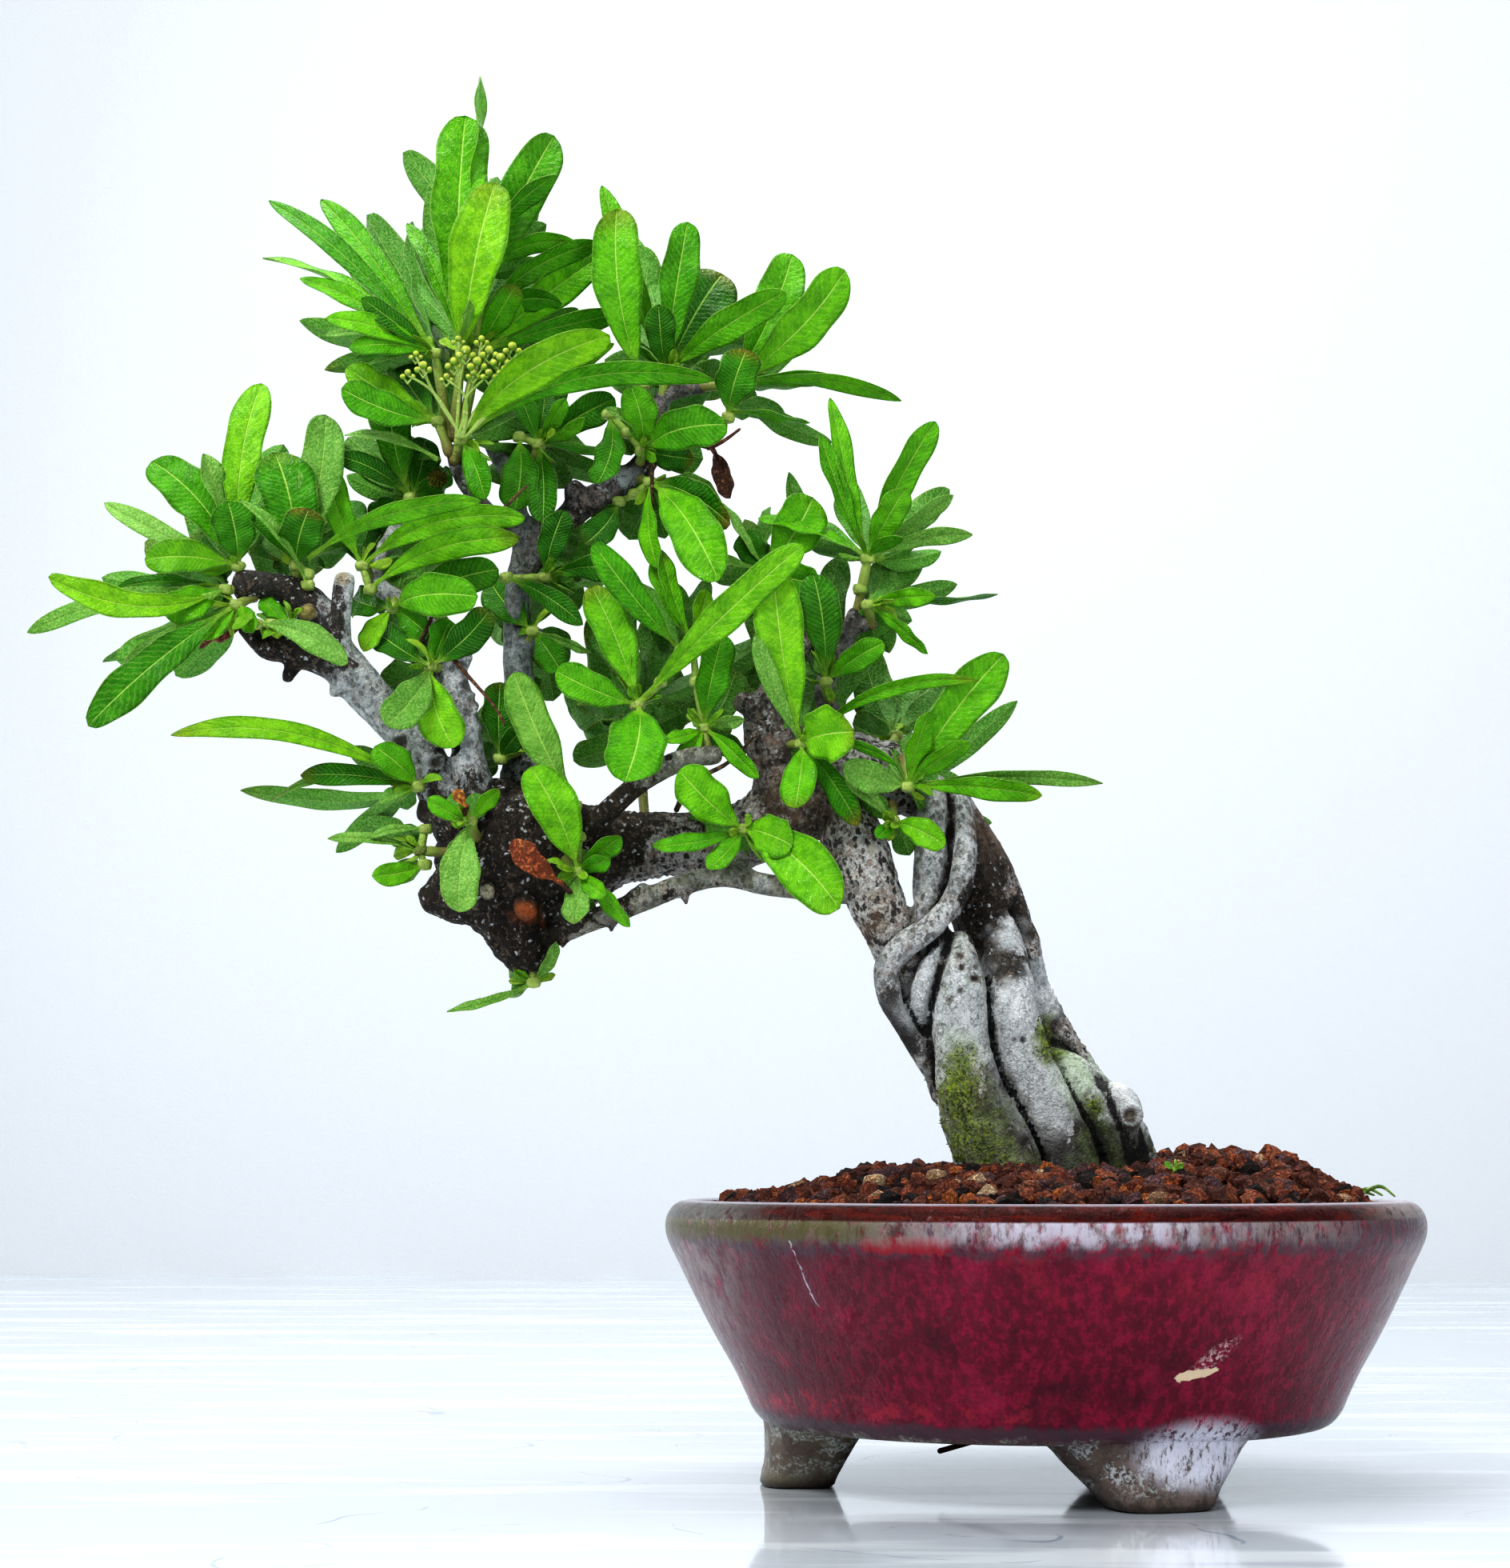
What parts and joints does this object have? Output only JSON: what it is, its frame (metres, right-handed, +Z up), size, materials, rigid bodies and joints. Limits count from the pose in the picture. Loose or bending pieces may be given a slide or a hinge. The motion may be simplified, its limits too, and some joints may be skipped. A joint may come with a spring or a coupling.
{
  "type": "bonsai tree in a pot",
  "caption": "Informal firethorn bonsai leaning over the edge of a round glazed pot, with a fluted arching trunk and green leaf shoots.",
  "frame": {"origin": "on the surface that the pot stands on, under the middle of the whole plant's box", "axes": "+Z up; -Y towards the display front; +X towards the side away from the lean of the tree"},
  "size_m": [0.3516, 0.189, 0.3626],
  "materials": {
    "glaze": "gloss",
    "nylon_net": "matte",
    "copper_wire": "satin",
    "soil_grit": "matte",
    "loose_stone": "matte",
    "bark": "matte",
    "bud": "matte",
    "dry_leaf": "matte",
    "leaf": "satin"
  },
  "bodies": {
    "root": {"drain_screen": "nylon_net", "dry_leaf_brown": "dry_leaf", "dry_leaf_hanging": "dry_leaf", "dry_leaf_orange": "dry_leaf", "flower_buds": "bud", "grass_blades": "leaf", "pot": "glaze", "screen_clip_wire": "copper_wire", "seedling": "leaf", "shoot_apex_back": "leaf", "shoot_apex_crown": "leaf", "shoot_apex_front": "leaf", "shoot_apex_left": "leaf", "shoot_apex_low_left": "leaf", "shoot_apex_right": "leaf", "shoot_arch_back": "leaf", "shoot_arch_low": "leaf", "shoot_arch_right": "leaf", "shoot_beside_branch": "leaf", "shoot_centre_left": "leaf", "shoot_centre_round": "leaf", "shoot_gnarl_back": "leaf", "shoot_gnarl_front": "leaf", "shoot_gnarl_top": "leaf", "shoot_knuckle_edge": "leaf", "shoot_knuckle_front": "leaf", "shoot_knuckle_low": "leaf", "shoot_knuckle_right": "leaf", "shoot_leader": "leaf", "shoot_leader_foot": "leaf", "shoot_leader_low": "leaf", "shoot_left_inner": "leaf", "shoot_left_inner_back": "leaf", "shoot_left_low": "leaf", "shoot_left_of_apex": "leaf", "shoot_left_tip_low": "leaf", "shoot_left_tip_side": "leaf", "shoot_left_tip_up": "leaf", "shoot_left_under": "leaf", "shoot_middle_back": "leaf", "shoot_middle_high": "leaf", "shoot_middle_low": "leaf", "shoot_middle_upright": "leaf", "shoot_right_fork": "leaf", "shoot_right_fork_low": "leaf", "shoot_right_inner": "leaf", "shoot_right_spray": "leaf", "shoot_right_spray_low": "leaf", "shoot_upper_middle": "leaf", "shoot_upper_right": "leaf", "shoot_upper_right_back": "leaf", "shoot_upper_right_tip": "leaf", "soil_bed": "soil_grit", "stone_1": "loose_stone", "stone_2": "loose_stone", "stone_3": "loose_stone", "stone_4": "loose_stone", "stone_5": "loose_stone", "trunk": "bark"}
  },
  "joints": []
}
